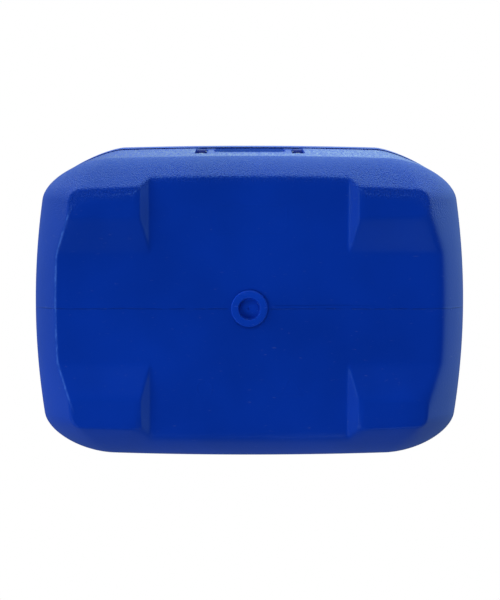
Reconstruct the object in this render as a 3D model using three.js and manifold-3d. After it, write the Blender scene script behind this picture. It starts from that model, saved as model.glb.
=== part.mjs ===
// Washer toss box: a flared tub with a drop-in play tray, a target cup in the middle, a folding carry
// handle under the front rim, and a clip on one end that holds two boxes mouth to mouth.
// Millimetres. +Z is up, the box stands on its four feet at z = 0, and the handle is on the -Y wall.
import * as THREE from "three";
import { mergeVertices } from "three/addons/utils/BufferGeometryUtils.js";
import Module from "manifold-3d";

const wasm = await Module();
wasm.setup();

// ---- driving dimensions ----
const CREASE_Z = 36; // where the curved chin meets the flared wall
const CREASE_LEN = 379, CREASE_WID = 265.8; // outline there
const FLARE = 0.128; // wall run-out per unit of height
const END_BOW = [5.4, 12.9], SIDE_BOW = 4.2; // how far the sides bow out, the ends at sole and crease
// Corner half axes along X and Y and their exponent: at the soles, at the crease and at the rim.
const CORNERS = { sole: [9, 9, 2], crease: [60, 35, 1.92], rim: [74.4, 42.8, 1.46] };
const CHIN = [[0, 27.8], [9, 19.5], [18, 11.8], [26, 5.7], [32, 1.8], [36, 0]]; // height, inset
const SHELL_TOP = 130.5, SHELL_T = 3;
const FOOT_H = 9; // depth of the cross-shaped channel between the feet
const CHANNEL_X = [86, 94]; // half widths at the channel's face and at the feet's soles
const CHANNEL_Y = [48, 78];
const HOLE_R = 12.3; // the hole the base plug closes
const TRAY_T = 3, WALL_DEPTH = 24, FLOOR_Z = 32, RIM_Z = 133.8;
const MAT = { z: FLOOR_Z + 0.3, t: 3.5, holeR: 58 };
const CUP = { z: FLOOR_Z + 0.3, top: 126, r0: 51, r1: 54.2, t: 2.6 };
// Pockets: lean is how far the pocket and what is in it lean out with the wall, in radians.
const FRONT = { back: 135.6, half: 50, z0: 64, z1: 122, pivotV: 139.4, pivotZ: 116, lean: Math.atan(FLARE) };
const END = { back: 185.5, half: 20, z0: 66, z1: 150, pivotV: 190.5, pivotZ: 115, lean: 0 };
const PIN_R = 1.5, PIN_HOLE_R = 1.6;
const GAP = 0.3;

const BLUE = [0x0c2c8c, 0.42, 0], STEEL = [0xb4b7ba, 0.3, 1];

// ---- solids ----
const toSolid = (geometry) => {
  const g = geometry.clone();
  for (const name of ["normal", "uv"]) g.deleteAttribute(name);
  const merged = mergeVertices(g, 1e-4), index = merged.index.array, kept = [];
  for (let i = 0; i < index.length; i += 3) {
    const [a, b, c] = index.slice(i, i + 3);
    if (a !== b && b !== c && c !== a) kept.push(a, b, c);
  }
  return new wasm.Manifold(new wasm.Mesh({
    numProp: 3,
    vertProperties: Float32Array.from(merged.attributes.position.array),
    triVerts: Uint32Array.from(kept),
  }));
};

const toGeometry = (solid) => {
  const mesh = solid.getMesh(), g = new THREE.BufferGeometry();
  g.setAttribute("position", new THREE.BufferAttribute(Float32Array.from(mesh.vertProperties), 3));
  g.setIndex(Array.from(mesh.triVerts));
  g.computeVertexNormals();
  return g;
};

const piece = (name, solid, [color, roughness, metalness]) => {
  const material = new THREE.MeshStandardMaterial({ color, roughness, metalness });
  const mesh = new THREE.Mesh(toGeometry(solid), material);
  mesh.name = name;
  return mesh;
};

const at = (mesh, x, y, z, rx = 0, ry = 0) => {
  mesh.position.set(x, y, z);
  mesh.rotation.set(rx, ry, 0);
  return mesh;
};

// A solid of revolution about Z from [radius, height] pairs.
const turned = (profile, segments = 32) => toSolid(new THREE.LatheGeometry(
  profile.map(([r, z]) => new THREE.Vector2(r, z)), segments).rotateX(Math.PI / 2));

const rod = (r, z0, z1, segments = 24) =>
  turned([[0, z0], [r, z0], [r, z1], [0, z1]], segments);

// A rod of radius r along local Y, centred at (x, z), from y0 to y1.
const rodY = (r, x, z, y0, y1, segments = 16) => {
  const g = new THREE.CylinderGeometry(r, r, y1 - y0, segments);
  return toSolid(g.translate(x, (y0 + y1) / 2, z));
};

// A rod of radius r along local X, centred at (y, z), from x0 to x1.
const rodX = (r, y, z, x0, x1, segments = 16) => {
  const g = new THREE.CylinderGeometry(r, r, x1 - x0, segments).rotateZ(-Math.PI / 2);
  return toSolid(g.translate((x0 + x1) / 2, y, z));
};

const extrude = (shape, depth, curveSegments = 6) =>
  new THREE.ExtrudeGeometry(shape, { depth, bevelEnabled: false, curveSegments });

// A shape drawn in local (y, z), running along local X from x0 to x1.
const alongX = (shape, x0, x1, curveSegments) => {
  const basis = new THREE.Matrix4().makeBasis(
    new THREE.Vector3(0, 1, 0), new THREE.Vector3(0, 0, 1), new THREE.Vector3(1, 0, 0));
  return toSolid(extrude(shape, x1 - x0, curveSegments).applyMatrix4(basis).translate(x0, 0, 0));
};

// A shape drawn in local (x, z), centred along local Y.
const alongY = (shape, width, curveSegments) => toSolid(
  extrude(shape, width, curveSegments).rotateX(Math.PI / 2).translate(0, width / 2, 0));

const polygon = (points) => new THREE.Shape(points.map(([x, y]) => new THREE.Vector2(x, y)));

const roundedRect = (x0, y0, x1, y1, r) => {
  const s = new THREE.Shape();
  s.moveTo(x0 + r, y0).lineTo(x1 - r, y0).absarc(x1 - r, y0 + r, r, -Math.PI / 2, 0);
  s.lineTo(x1, y1 - r).absarc(x1 - r, y1 - r, r, 0, Math.PI / 2);
  s.lineTo(x0 + r, y1).absarc(x0 + r, y1 - r, r, Math.PI / 2, Math.PI);
  return s.lineTo(x0, y0 + r).absarc(x0 + r, y0 + r, r, Math.PI, 1.5 * Math.PI);
};

// ---- the tub's outline ----
const SIDE = 3, ARC = 7, LONG = 3, QUARTER = SIDE + ARC + LONG, AROUND = 4 * QUARTER;

// Point k around a rectangle of half sizes a and b whose sides bow out and whose corners are
// quarters of a superellipse of half axes rx and ry and exponent n.
const outline = (k, { a, b, rx, ry, n, bow }) => {
  const quadrant = Math.floor(k / QUARTER), odd = quadrant % 2;
  const m = odd ? QUARTER - (k % QUARTER) : k % QUARTER;
  let x = a, y = ((b - ry) * m) / SIDE;
  if (m >= SIDE + ARC) {
    x = (a - rx) * (1 - (m - SIDE - ARC) / LONG);
    y = b;
  } else if (m >= SIDE) {
    const turn = ((m - SIDE) / ARC) * Math.PI / 2;
    x = a - rx + rx * Math.cos(turn) ** (2 / n);
    y = b - ry + ry * Math.sin(turn) ** (2 / n);
  }
  const u = x / a, v = y / b;
  x -= u * bow * v * v;
  y -= v * SIDE_BOW * u * u;
  return [quadrant === 1 || quadrant === 2 ? -x : x, quadrant > 1 ? -y : y];
};

// A closed solid through stations of those values; a station with a = 0 is on the axis.
const loft = (stations) => {
  const g = new THREE.LatheGeometry(stations.map((s) => new THREE.Vector2(s.a, s.z)), AROUND);
  for (let i = 0; i <= AROUND; i++) {
    stations.forEach((s, j) => {
      const [x, y] = s.a ? outline(i % AROUND, s) : [0, 0];
      g.attributes.position.setXYZ(i * stations.length + j, x, y, s.z);
    });
  }
  return toSolid(g);
};

const axis = (z) => ({ z, a: 0 });

const mix = (p, q, s) => p + (q - p) * s;
const corner = (from, to, s, off) => ({
  rx: Math.max(mix(from[0], to[0], s) - off, 6), ry: Math.max(mix(from[1], to[1], s) - off, 6),
  n: mix(from[2], to[2], s),
});

// The flared wall at height z, moved in by off.
const wall = (z, off = 0) => {
  const out = (z - CREASE_Z) * FLARE - off, s = (z - CREASE_Z) / (RIM_Z - CREASE_Z);
  return {
    z, a: CREASE_LEN / 2 + out, b: CREASE_WID / 2 + out, bow: END_BOW[1],
    ...corner(CORNERS.crease, CORNERS.rim, s, off),
  };
};

// The shell's outside at height z, moved in by off: the wall, or the chin below the crease.
const skin = (z, off = 0) => {
  if (z >= CREASE_Z) return wall(z, off);
  const k = CHIN.findIndex(([h]) => h > z), [z0, i0] = CHIN[k - 1], [z1, i1] = CHIN[k];
  const inset = i0 + ((i1 - i0) * (z - z0)) / (z1 - z0);
  const a = CREASE_LEN / 2 - 1.1 * inset - off, b = CREASE_WID / 2 - 0.95 * inset - off;
  const s = inset / CHIN[0][1];
  return { z, a, b, bow: mix(END_BOW[1], END_BOW[0], s), ...corner(CORNERS.crease, CORNERS.sole, s, off) };
};

// ---- the shell ----
// The cross-shaped channel that leaves the four feet; grow thickens it for the inside face.
const channel = (grow) => {
  const top = FOOT_H + grow, low = -5;
  const bar = ([inner, outer]) => {
    const run = (outer - inner) / FOOT_H, foot = outer - run * low + grow;
    return polygon([[-foot, low], [foot, low], [inner + grow, top], [-inner - grow, top]]);
  };
  return alongY(bar(CHANNEL_X), 400).add(alongX(bar(CHANNEL_Y), -300, 300));
};

// A pocket in a wall, in that wall's own frame: +X is out through the wall. Its back is at back
// where the pivot is, and it leans about the pivot.
const pocket = ({ back, half, z0, z1, pivotV, pivotZ, lean }, grow, r) => alongX(
  roundedRect(-half - grow, z0 - grow - pivotZ, half + grow, z1 + grow - pivotZ, r + grow),
  back - grow - pivotV, back + 60 - pivotV,
).rotate([0, (lean * 180) / Math.PI, 0]).translate([pivotV, 0, pivotZ]);

const FACES = [[FRONT, -Math.PI / 2, 3], [END, 0, 3], [END, Math.PI, 3]];

const turn = (solid, angle) => solid.rotate([0, 0, (angle * 180) / Math.PI]);

function outerShell() {
  let cavity = loft([
    axis(SHELL_T), skin(SHELL_T, 4.2), skin(9, 4), skin(18, 4), skin(26, 3.6),
    skin(32, 3.2), skin(CREASE_Z, SHELL_T), wall(SHELL_TOP + 12, SHELL_T), axis(SHELL_TOP + 12),
  ]).subtract(channel(SHELL_T));
  let shell = loft([axis(0), ...CHIN.map(([z]) => skin(z)), wall(SHELL_TOP), axis(SHELL_TOP)])
    .subtract(channel(0));
  for (const [face, angle, r] of FACES) {
    cavity = cavity.subtract(turn(pocket(face, SHELL_T, r), angle));
    shell = shell.subtract(turn(pocket(face, 0, r), angle));
  }
  shell = shell.subtract(cavity).subtract(rod(HOLE_R, -1, 20, 32));
  for (const [angle, y, drop, { back, pivotV, pivotZ, lean }] of SCREW_HOLES) {
    const seat = back - pivotV, hole = rodX(1.7, y, -drop, seat - 8, seat + 2, 12);
    const leant = hole.rotate([0, (lean * 180) / Math.PI, 0]).translate([pivotV, 0, pivotZ]);
    shell = shell.subtract(turn(leant, angle));
  }
  return piece("outer_shell", shell, BLUE);
}

// Flanged plug with a round recess and a small gate dimple, snapped into the base from below.
function basePlug() {
  const z = FOOT_H - GAP;
  return piece("base_plug", turned([
    [0, z + 3.6], [1.1, z + 3.6], [1.5, z + 3], [9.2, z + 3], [9.5, z + 2.6], [9.5, z - 1.4],
    [10.2, z - 2], [15, z - 2], [16.2, z - 1], [16.2, z], [12, z], [12, z + 3.9], [12.9, z + 4.6],
    [12, z + 7], [11, z + 9.3], [0, z + 9.3],
  ]), BLUE);
}

// ---- the inside ----
function innerTray() {
  const out = WALL_DEPTH - TRAY_T, under = SHELL_TOP + GAP, floor = FLOOR_Z - TRAY_T;
  let tray = loft([
    axis(floor), wall(floor, out + 9), wall(floor + 2, out + 3.5), wall(floor + 8, out),
    wall(under, out), wall(under, -0.4), wall(123.5, -0.4), wall(123.5, -0.8), wall(131.6, -1.5),
    wall(133.2, -0.9), wall(RIM_Z, 0.6), wall(RIM_Z, out), wall(133, out + 1.8),
    wall(130.6, WALL_DEPTH), wall(44, WALL_DEPTH), wall(37.5, 26), wall(33.7, 30.5),
    wall(FLOOR_Z, 36), axis(FLOOR_Z),
  ]).subtract(rod(3, floor - 5, FLOOR_Z + 5, 20));
  for (const [face, angle, r] of FACES.slice(1)) {
    const notch = { ...face, back: face.back - GAP, half: face.half + GAP, z0: 100 };
    tray = tray.subtract(turn(pocket(notch, 0, r), angle));
  }
  return piece("inner_tray", tray, [0x163c9e, 0.45, 0]);
}

function foamCore() {
  const z0 = FOOT_H + SHELL_T + 0.4, z1 = FLOOR_Z - TRAY_T - 0.4;
  const slab = loft([axis(z0), skin(z0, 5), skin(20, 5), skin(z1, 5), axis(z1)]);
  return piece("foam_core", slab.subtract(rod(15, z0 - 5, z1 + 5, 32)), [0xe9e9e4, 0.9, 0]);
}

function playMat() {
  const z1 = MAT.z + MAT.t;
  const mat = loft([axis(MAT.z), wall(MAT.z, 37.5), wall(z1, 38), axis(z1)]);
  return piece("play_mat", mat.subtract(rod(MAT.holeR, MAT.z - 5, z1 + 5, 48)), [0x2b2d30, 1, 0]);
}

// Tapered cup with a blind boss under the middle of its floor for the threaded insert.
function targetCup() {
  const { z, top, r0, r1, t } = CUP;
  const cup = turned([
    [0, z], [47, z], [50, z + 1.5], [r0, z + 4.7], [r1, top], [r1 - t, top], [r0 - t, z + 6.7],
    [46.5, z + 4], [44, z + 3], [9.4, z + 3], [8, z + 4.2], [7.6, z + 14], [0, z + 14],
  ], 48);
  return piece("target_cup", cup.subtract(rod(4.3, z - 5, z + 11.2, 20)), [0xf2f2ee, 0.4, 0]);
}

function cupRing() {
  return piece("cup_ring", turned([
    [54.6, 115], [57, 115], [57.6, 127], [56.4, 128.7], [51, 128.7], [49.6, 127.3], [49.7, 121],
    [51.1, 121], [51.25, 126.3], [54.6, 126.3], [54.6, 115],
  ], 48), [0xe8b21c, 0.45, 0]);
}

function cupInsert() {
  const z = CUP.z + GAP;
  const body = turned([[0, z], [3.6, z], [4, z + 0.6], [4, z + 10], [3.6, z + 10.6], [0, z + 10.6]], 20);
  return piece("cup_insert", body.subtract(rod(2.65, z - 1, z + 12, 20)), [0xc79a4b, 0.35, 1]);
}

function cupWasher() {
  const z = FLOOR_Z - TRAY_T - GAP - 1.5;
  return piece("cup_washer", rod(10, z, z + 1.5, 32).subtract(rod(2.8, z - 1, z + 3, 20)), STEEL);
}

// ---- fasteners ----
// Pan-head screw with a cross recess. The head stands on z = 0 and the shank runs down.
function screw(name, r, length, headR, headH, segments = 16) {
  const body = turned([
    [0, -length], [r * 0.5, -length], [r, -length + r], [r, 0], [headR, 0],
    [headR, headH * 0.55], [headR * 0.7, headH * 0.95], [0, headH],
  ], segments);
  const slot = (w, l) => toSolid(new THREE.BoxGeometry(w, l, headH).translate(0, 0, headH * 1.1));
  const arm = headR * 1.15, thick = headR * 0.28;
  return piece(name, body.subtract(slot(thick, arm)).subtract(slot(arm, thick)), STEEL);
}

// Plain pivot pin along local Y with chamfered ends.
function pivotPin(name, length) {
  const h = length / 2, r = PIN_R, c = 0.4;
  const pin = turned([[0, -h], [r - c, -h], [r, c - h], [r, h - c], [r - c, h], [0, h]], 16);
  return piece(name, pin.rotate([90, 0, 0]), STEEL);
}

// Ear with a foot below it: local origin at the pivot, the wall behind at x = -reach.
const FOOT_DROP = 15, EAR_W = 8, FOOT_T = 2.2;
function bracket(name, reach, depth) {
  const d = depth - reach, b = -reach;
  const body = alongY(polygon([
    [b, -23], [b + FOOT_T - 0.6, -23], [b + FOOT_T, -22.4], [b + FOOT_T, -8.5], [b + FOOT_T + 1.5, -6.5],
    [d - 1.5, -6], [d, -4.5], [d, 2.6], [d - 2, 4.6], [b, 4.6],
  ]), EAR_W);
  const bored = body.subtract(rodY(PIN_HOLE_R, 0, 0, -9, 9)).subtract(
    rodX(1.7, 0, -FOOT_DROP, b - 2, b + 5, 12));
  return piece(name, bored, [0x15171a, 0.5, 0]);
}

const HANDLE_EAR = 45, LATCH_EAR = 14.8, KEEPER_Z = 108;
const KEEPER_DROP = END.pivotZ - KEEPER_Z + 7;
const SCREW_HOLES = [
  [-Math.PI / 2, HANDLE_EAR, FOOT_DROP, FRONT],
  [-Math.PI / 2, -HANDLE_EAR, FOOT_DROP, FRONT],
  [0, LATCH_EAR, FOOT_DROP, END],
  [0, -LATCH_EAR, FOOT_DROP, END],
  [Math.PI, 9, KEEPER_DROP, END],
  [Math.PI, -9, KEEPER_DROP, END],
];

// ---- carry handle ----
// A flat bail that hangs from two barrels; both edges of its grip are waved for the fingers.
function carryHandle() {
  const arm = 40, inner = 32, low = -48, gripTop = -25, r = 6, waves = 4, amp = 1.3;
  const wave = (y, from, to, sign) => {
    const points = [], n = waves * 6;
    for (let i = 0; i <= n; i++) {
      const s = i / n;
      points.push([from + (to - from) * s, y + sign * amp * (1 - Math.cos(2 * Math.PI * waves * s)) / 2]);
    }
    return points;
  };
  const shape = polygon([
    [-arm, 0], [-arm, low + r], [-arm + 0.3 * r, low + 0.3 * r],
    ...wave(low, -arm + r, arm - r, 1), [arm - 0.3 * r, low + 0.3 * r], [arm, low + r], [arm, 0],
    [inner, 0], [inner, gripTop + 4], [inner - 1.2, gripTop + 1.2],
    ...wave(gripTop, inner - 4, 4 - inner, -1), [1.2 - inner, gripTop + 1.2], [-inner, gripTop + 4],
    [-inner, 0],
  ]);
  let body = alongX(shape, -2.8, 2.8);
  for (const side of [-1, 1]) {
    const [y0, y1] = [side * 31.5, side * 40.4].sort((p, q) => p - q);
    body = body.add(rodY(3.6, 0, 0, y0, y1, 20));
    body = body.subtract(rodY(PIN_HOLE_R, 0, 0, y0 - 1, y1 + 1));
  }
  return piece("carry_handle", body, [0x0a2474, 0.5, 0]);
}

// ---- end clip and keeper ----
// The clip hangs in its channel with its hook facing out. Swung up over the rim, the hook faces in.
function latchClip() {
  const body = alongY(polygon([
    [-1.5, 0], [-1.5, -44.4], [-0.9, -45], [3.6, -45], [4.2, -44.4], [4.2, -42.6], [1.5, -41.4],
    [1.5, 0],
  ]), 20).add(rodY(4, 0, 0, -10, 10, 20));
  const rib = alongY(polygon([[1, -26], [2.8, -24.5], [2.8, -20.5], [1, -19]]), 14);
  return piece("latch_clip", body.add(rib).subtract(rodY(PIN_HOLE_R, 0, 0, -12, 12)), BLUE);
}

function keeper() {
  let plate = alongY(polygon([
    [0, -14], [1.6, -14], [2, -13.4], [2, 1], [3, 1.4], [3, 4.6], [2.4, 5.2], [0, 5.2],
  ]), 30);
  for (const y of [-9, 9]) plate = plate.subtract(rodX(1.7, y, -7, -2, 6, 12));
  return piece("keeper", plate, [0x15171a, 0.5, 0]);
}

// ---- assembly ----
const box = new THREE.Group();
box.add(outerShell(), basePlug(), innerTray(), foamCore(), playMat());
box.add(targetCup(), cupRing(), cupInsert(), cupWasher());
box.add(at(screw("cup_screw", 2.5, 15, 5, 3, 20), 0, 0, FLOOR_Z - TRAY_T - 2 * GAP - 1.5, Math.PI));

// Hardware on a wall is laid out from the pivot, with +X out through that wall, and leans with it.
const wallGroup = ({ pivotV, pivotZ, lean }, angle) => {
  const side = new THREE.Group(), leant = new THREE.Group();
  side.rotation.z = angle;
  leant.position.set(pivotV, 0, pivotZ);
  leant.rotation.y = lean;
  side.add(leant);
  box.add(side);
  return leant;
};
const front = wallGroup(FRONT, -Math.PI / 2);
const latchEnd = wallGroup(END, 0), keeperEnd = wallGroup(END, Math.PI);
const onWall = (group, mesh, x, y, z) => group.add(at(mesh, x, y, z));
const screwOn = (group, name, x, y, z) =>
  group.add(at(screw(name, 1.5, 9, 2.7, 1.7), x, y, z, 0, Math.PI / 2));

onWall(front, carryHandle(), 0, 0, 0);
const frontReach = FRONT.pivotV - FRONT.back - GAP, endReach = END.pivotV - END.back - GAP;
for (const [side, word] of [[-1, "left"], [1, "right"]]) {
  onWall(front, bracket(`handle_bracket_${word}`, frontReach, 6.6), 0, side * HANDLE_EAR, 0);
  onWall(front, pivotPin(`handle_pin_${word}`, 14), 0, side * 41.5, 0);
  screwOn(front, `handle_screw_${word}`, FOOT_T + GAP - frontReach, side * HANDLE_EAR, -FOOT_DROP);
}

onWall(latchEnd, latchClip(), 0, 0, 0);
onWall(latchEnd, pivotPin("latch_pin", 36), 0, 0, 0);
for (const [side, word] of [[-1, "front"], [1, "rear"]]) {
  onWall(latchEnd, bracket(`latch_bracket_${word}`, endReach, 9), 0, side * LATCH_EAR, 0);
  screwOn(latchEnd, `latch_screw_${word}`, FOOT_T + GAP - endReach, side * LATCH_EAR, -FOOT_DROP);
}

onWall(keeperEnd, keeper(), -endReach, 0, KEEPER_Z - END.pivotZ);
for (const [side, word] of [[-1, "rear"], [1, "front"]]) {
  screwOn(keeperEnd, `keeper_screw_${word}`, 2 + GAP - endReach, side * 9, -KEEPER_DROP);
}

export default box;
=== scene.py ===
import math

import bmesh
import bpy
import numpy as np
from mathutils import Matrix, Vector


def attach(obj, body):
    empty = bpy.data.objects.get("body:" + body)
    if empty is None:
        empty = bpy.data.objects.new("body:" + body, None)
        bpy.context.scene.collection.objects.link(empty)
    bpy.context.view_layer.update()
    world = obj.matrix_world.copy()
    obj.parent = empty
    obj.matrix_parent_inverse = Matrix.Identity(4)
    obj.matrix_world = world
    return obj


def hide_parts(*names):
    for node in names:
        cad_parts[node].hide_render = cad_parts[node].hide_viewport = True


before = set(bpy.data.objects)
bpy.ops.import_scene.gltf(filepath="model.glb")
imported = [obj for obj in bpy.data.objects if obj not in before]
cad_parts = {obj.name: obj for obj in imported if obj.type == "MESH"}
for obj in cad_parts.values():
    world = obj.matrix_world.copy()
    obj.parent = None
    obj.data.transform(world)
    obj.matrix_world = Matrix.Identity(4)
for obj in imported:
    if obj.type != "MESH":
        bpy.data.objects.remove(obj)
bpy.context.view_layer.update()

scene = bpy.context.scene
scene.view_settings.view_transform = "Standard"

# ---------------------------------------------------------------- camera
# The box is looked at from underneath, almost square to its base and a few degrees round towards
# the handle's wall, so a sliver of that wall shows past the chin. The lens is about twice the normal length.
LOOK_TILT = math.radians(4.0)
LOOK_AT = Vector((0.0005, -0.0057, 0.036))
LOOK_FROM = 1.123

look = Vector((0, math.sin(LOOK_TILT), math.cos(LOOK_TILT)))
over = Vector((0, -math.cos(LOOK_TILT), math.sin(LOOK_TILT)))
lens = bpy.data.cameras.new("camera")
lens.lens = 76
lens.sensor_width = 36
lens.clip_start = 0.05
camera = bpy.data.objects.new("camera", lens)
scene.collection.objects.link(camera)
turn = Matrix((look.cross(over), over, -look)).transposed()
camera.matrix_world = Matrix.Translation(LOOK_AT - look * LOOK_FROM) @ turn.to_4x4()
scene.camera = camera

# ---------------------------------------------------------------- studio
# A tent that is dark straight below, white overhead and brightest low down on the handle's side.
# Large washes light the underside without showing in it, and one faint strip glints on its edges.
world = bpy.data.worlds.new("tent")
scene.world = world
world.use_nodes = True
w = world.node_tree
w.nodes.clear()


def put(tree, kind, *links, **settings):
    """Adds a node to tree, sets its properties and sockets, and wires links of (socket, source)."""
    node = tree.nodes.new("ShaderNode" + kind)
    for key, value in settings.items():
        if hasattr(node, key):
            setattr(node, key, value)
        else:
            node.inputs[key.replace("_", " ")].default_value = value
    for socket, source in links:
        tree.links.new(source, node.inputs[socket])
    return node


def maths(tree, operation, *values, clamp=False):
    """A Math node on sockets or numbers; gives back its output socket."""
    node = put(tree, "Math", operation=operation, use_clamp=clamp)
    for k, value in enumerate(values):
        if isinstance(value, (int, float)):
            node.inputs[k].default_value = value
        else:
            tree.links.new(value, node.inputs[k])
    return node.outputs[0]


def times(tree, a, b, clamp=False):
    """The product of two sockets or numbers."""
    return maths(tree, "MULTIPLY", a, b, clamp=clamp)


def plus(tree, a, b, clamp=False):
    """The sum of two sockets or numbers."""
    return maths(tree, "ADD", a, b, clamp=clamp)


def minus(tree, a, b):
    """The second value taken from the first."""
    return maths(tree, "SUBTRACT", a, b)


def ranged(tree, value, low, high, to_low=0.0, to_high=1.0, smooth=True):
    """Maps low..high of a socket to to_low..to_high, held at both ends."""
    node = put(tree, "MapRange", ("Value", value), From_Min=low, From_Max=high, To_Min=to_low, To_Max=to_high)
    node.interpolation_type = "SMOOTHSTEP" if smooth else "LINEAR"
    return node.outputs[0]


def blended(tree, factor, first, second):
    """A Mix of two colours, or of sockets that carry them, by factor."""
    node = put(tree, "Mix", ("Factor", factor), data_type="RGBA")
    for k, colour in ((6, first), (7, second)):
        if isinstance(colour, tuple):
            node.inputs[k].default_value = colour
        else:
            tree.links.new(colour, node.inputs[k])
    return node.outputs[2]


TENT_TINT, TENT_GLOSS = (0.90, 0.97, 1.0, 1), (0.66, 0.97, 1.06, 1)
TENT_TOP, TENT_NADIR = 0.95, 0.004
SIDE_LOW, SIDE_HIGH, BRIGHT_WAY = 0.22, 1.85, (0.3, -0.954, 0.0)
w_dir = put(w, "TexCoord").outputs["Generated"]
w_z = put(w, "SeparateXYZ", (0, w_dir)).outputs["Z"]
w_toward = put(w, "VectorMath", (0, w_dir), operation="DOT_PRODUCT")
w_toward.inputs[1].default_value = BRIGHT_WAY
w_side = maths(w, "POWER", ranged(w, w_toward.outputs["Value"], -1.0, 1.0, smooth=False), 2.0)
w_side = plus(w, times(w, w_side, SIDE_HIGH), SIDE_LOW)
w_level_dir = put(w, "Mapping", (0, w_dir), Scale=(1, 1, 0))
w_flat = put(w, "VectorMath", (0, w_level_dir.outputs[0]), operation="NORMALIZE")
w_round = put(w, "VectorMath", (0, w_flat.outputs[0]), operation="DOT_PRODUCT")
w_round.inputs[1].default_value = BRIGHT_WAY
w_crown = maths(w, "POWER", ranged(w, w_round.outputs["Value"], -1.0, 1.0, smooth=False), 5.0)
w_crown = times(w, plus(w, w_crown, 0.12), TENT_TOP)
w_high = ranged(w, w_z, 0.55, 0.95)
w_level = plus(w, times(w, w_side, minus(w, 1.0, w_high)), times(w, w_high, w_crown))
w_level = times(w, w_level, ranged(w, w_z, -0.55, 0.05, TENT_NADIR, 1.0))
w_path = put(w, "LightPath")
w_tint = blended(w, w_path.outputs["Is Glossy Ray"], TENT_TINT, TENT_GLOSS)
w_light = put(w, "Background", ("Strength", w_level), ("Color", w_tint))
w_seen = put(w, "Background", Color=(1, 1, 1, 1))
w_mix = put(w, "MixShader", (0, w_path.outputs["Is Camera Ray"]), (1, w_light.outputs[0]),
            (2, w_seen.outputs[0]))
put(w, "OutputWorld", (0, w_mix.outputs[0]))


def soft_box(name, place, size, watts, tint=(1, 1, 1), diffuse=True, glossy=True, tall=None):
    """An area light at place that faces the box. It can light only, or only show in reflections."""
    data = bpy.data.lights.new(name, "AREA")
    data.shape, data.size, data.size_y = "RECTANGLE", size, tall or size
    data.energy, data.color = watts, tint
    lamp = bpy.data.objects.new(name, data)
    scene.collection.objects.link(lamp)
    lamp.location = place
    lamp.rotation_euler = (Vector((0, 0, 0.03)) - Vector(place)).to_track_quat("-Z", "Y").to_euler()
    lamp.visible_camera = False
    lamp.visible_diffuse, lamp.visible_glossy = diffuse, glossy


for name, spot, watts in (
        ("handle_side", (0, -1.5, -1.32), 12.5), ("far_side", (0.6, 1.4, -1.2), 7.5),
        ("keeper_end", (-1.8, -0.4, -0.6), 10.5), ("keeper_corner", (-1.2, 1.0, -1.24), 14.5)):
    soft_box("wash_" + name, spot, 1.0, watts, glossy=False)
soft_box("edge_strip", (-1.12, -0.12, -1.02), 0.8, 1.2, tint=(0.75, 0.95, 1.0), diffuse=False, tall=0.2)
soft_box("key_above", (-0.9, -1.1, 1.5), 1.2, 16, glossy=False)

floor_mesh = bpy.data.meshes.new("floor")
FLOOR_HALF, FLOOR_Z = 20, -5e-4
floor_corners = [(a * FLOOR_HALF, b * FLOOR_HALF, FLOOR_Z) for a, b in ((-1, -1), (1, -1), (1, 1), (-1, 1))]
floor_mesh.from_pydata(floor_corners, [], [(0, 1, 2, 3)])
floor_sheet = bpy.data.objects.new("floor", floor_mesh)
scene.collection.objects.link(floor_sheet)
paper = bpy.data.materials.new("studio_paper")
paper.use_nodes = True
p = paper.node_tree
p_out, p_skin = p.nodes["Material Output"], p.nodes["Principled BSDF"]
p_skin.inputs["Base Color"].default_value = (0.78, 0.78, 0.77, 1)
p_skin.inputs["Roughness"].default_value = 0.9
p_clear, p_mix = p.nodes.new("ShaderNodeBsdfTransparent"), p.nodes.new("ShaderNodeMixShader")
p_geo = p.nodes.new("ShaderNodeNewGeometry")
p.links.new(p_geo.outputs["Backfacing"], p_mix.inputs[0])
p.links.new(p_skin.outputs[0], p_mix.inputs[1])
p.links.new(p_clear.outputs[0], p_mix.inputs[2])
p.links.new(p_mix.outputs[0], p_out.inputs["Surface"])
floor_mesh.materials.append(paper)
for ray in ("shadow", "diffuse", "glossy", "transmission"):
    setattr(floor_sheet, "visible_" + ray, False)

# ---------------------------------------------------------------- outer shell
# One blow-moulded polyethylene tub, about 3 mm thick. Its walls flare, a curved chin runs round
# the base, and four corner feet stand below a cross-shaped channel. The mould's halves met along
# the middle of the length, which leaves a fine pinch line across the base and up both ends.
CREASE_Z, SHELL_TOP = 36.0, 130.0
HALF_LEN, HALF_WID, RIM_Z = 189.5, 132.9, 133.8
SOLE_CORNER, CREASE_CORNER, RIM_CORNER = (9.0, 9.0, 2.0), (60.0, 35.0, 1.92), (74.4, 42.8, 1.46)
FLARE, SOLE_BOW, CREASE_BOW, SIDE_BOW = 0.128, 5.4, 12.9, 4.2
CHIN_INSET, CHIN_CURVE, CHIN_DRAW_X, CHIN_DRAW_Y = 27.8, 0.811, 1.1, 0.95
FOOT_H, CHANNEL_X, CHANNEL_Y = 9.0, (86.0, 94.0), (48.0, 78.0)
FRONT_PIVOT, END_PIVOT = (139.4, 116.0), (190.5, 115.0)
FRONT_BACK, END_BACK = -3.83, 185.5
FRONT_MOUTH, END_MOUTH = (50.0, 64.0, 122.2), (20.0, 66.0, 190.0)
SLIDE_X, SLIDE_Y, LEAN_X = 60, 50, 100
PLUG_HOLE, WALL_T, PINCH_H = 12.6, 3.0, 0.16


def smax(a, b, k):
    """Smooth maximum: half of a + b + sqrt((a - b)^2 + k^2)."""
    return 0.5 * (a + b + np.sqrt((a - b) ** 2 + k * k))


def smin(a, b, k):
    """Smooth minimum, the mirror of smax."""
    return -smax(-a, -b, k)


def spaced(*runs):
    """One rising line of values from runs of (start, stop, step)."""
    parts = [np.linspace(a, b, max(int(round((b - a) / s)), 1) + 1) for a, b, s in runs]
    return np.unique(np.round(np.concatenate(parts), 4))


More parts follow.
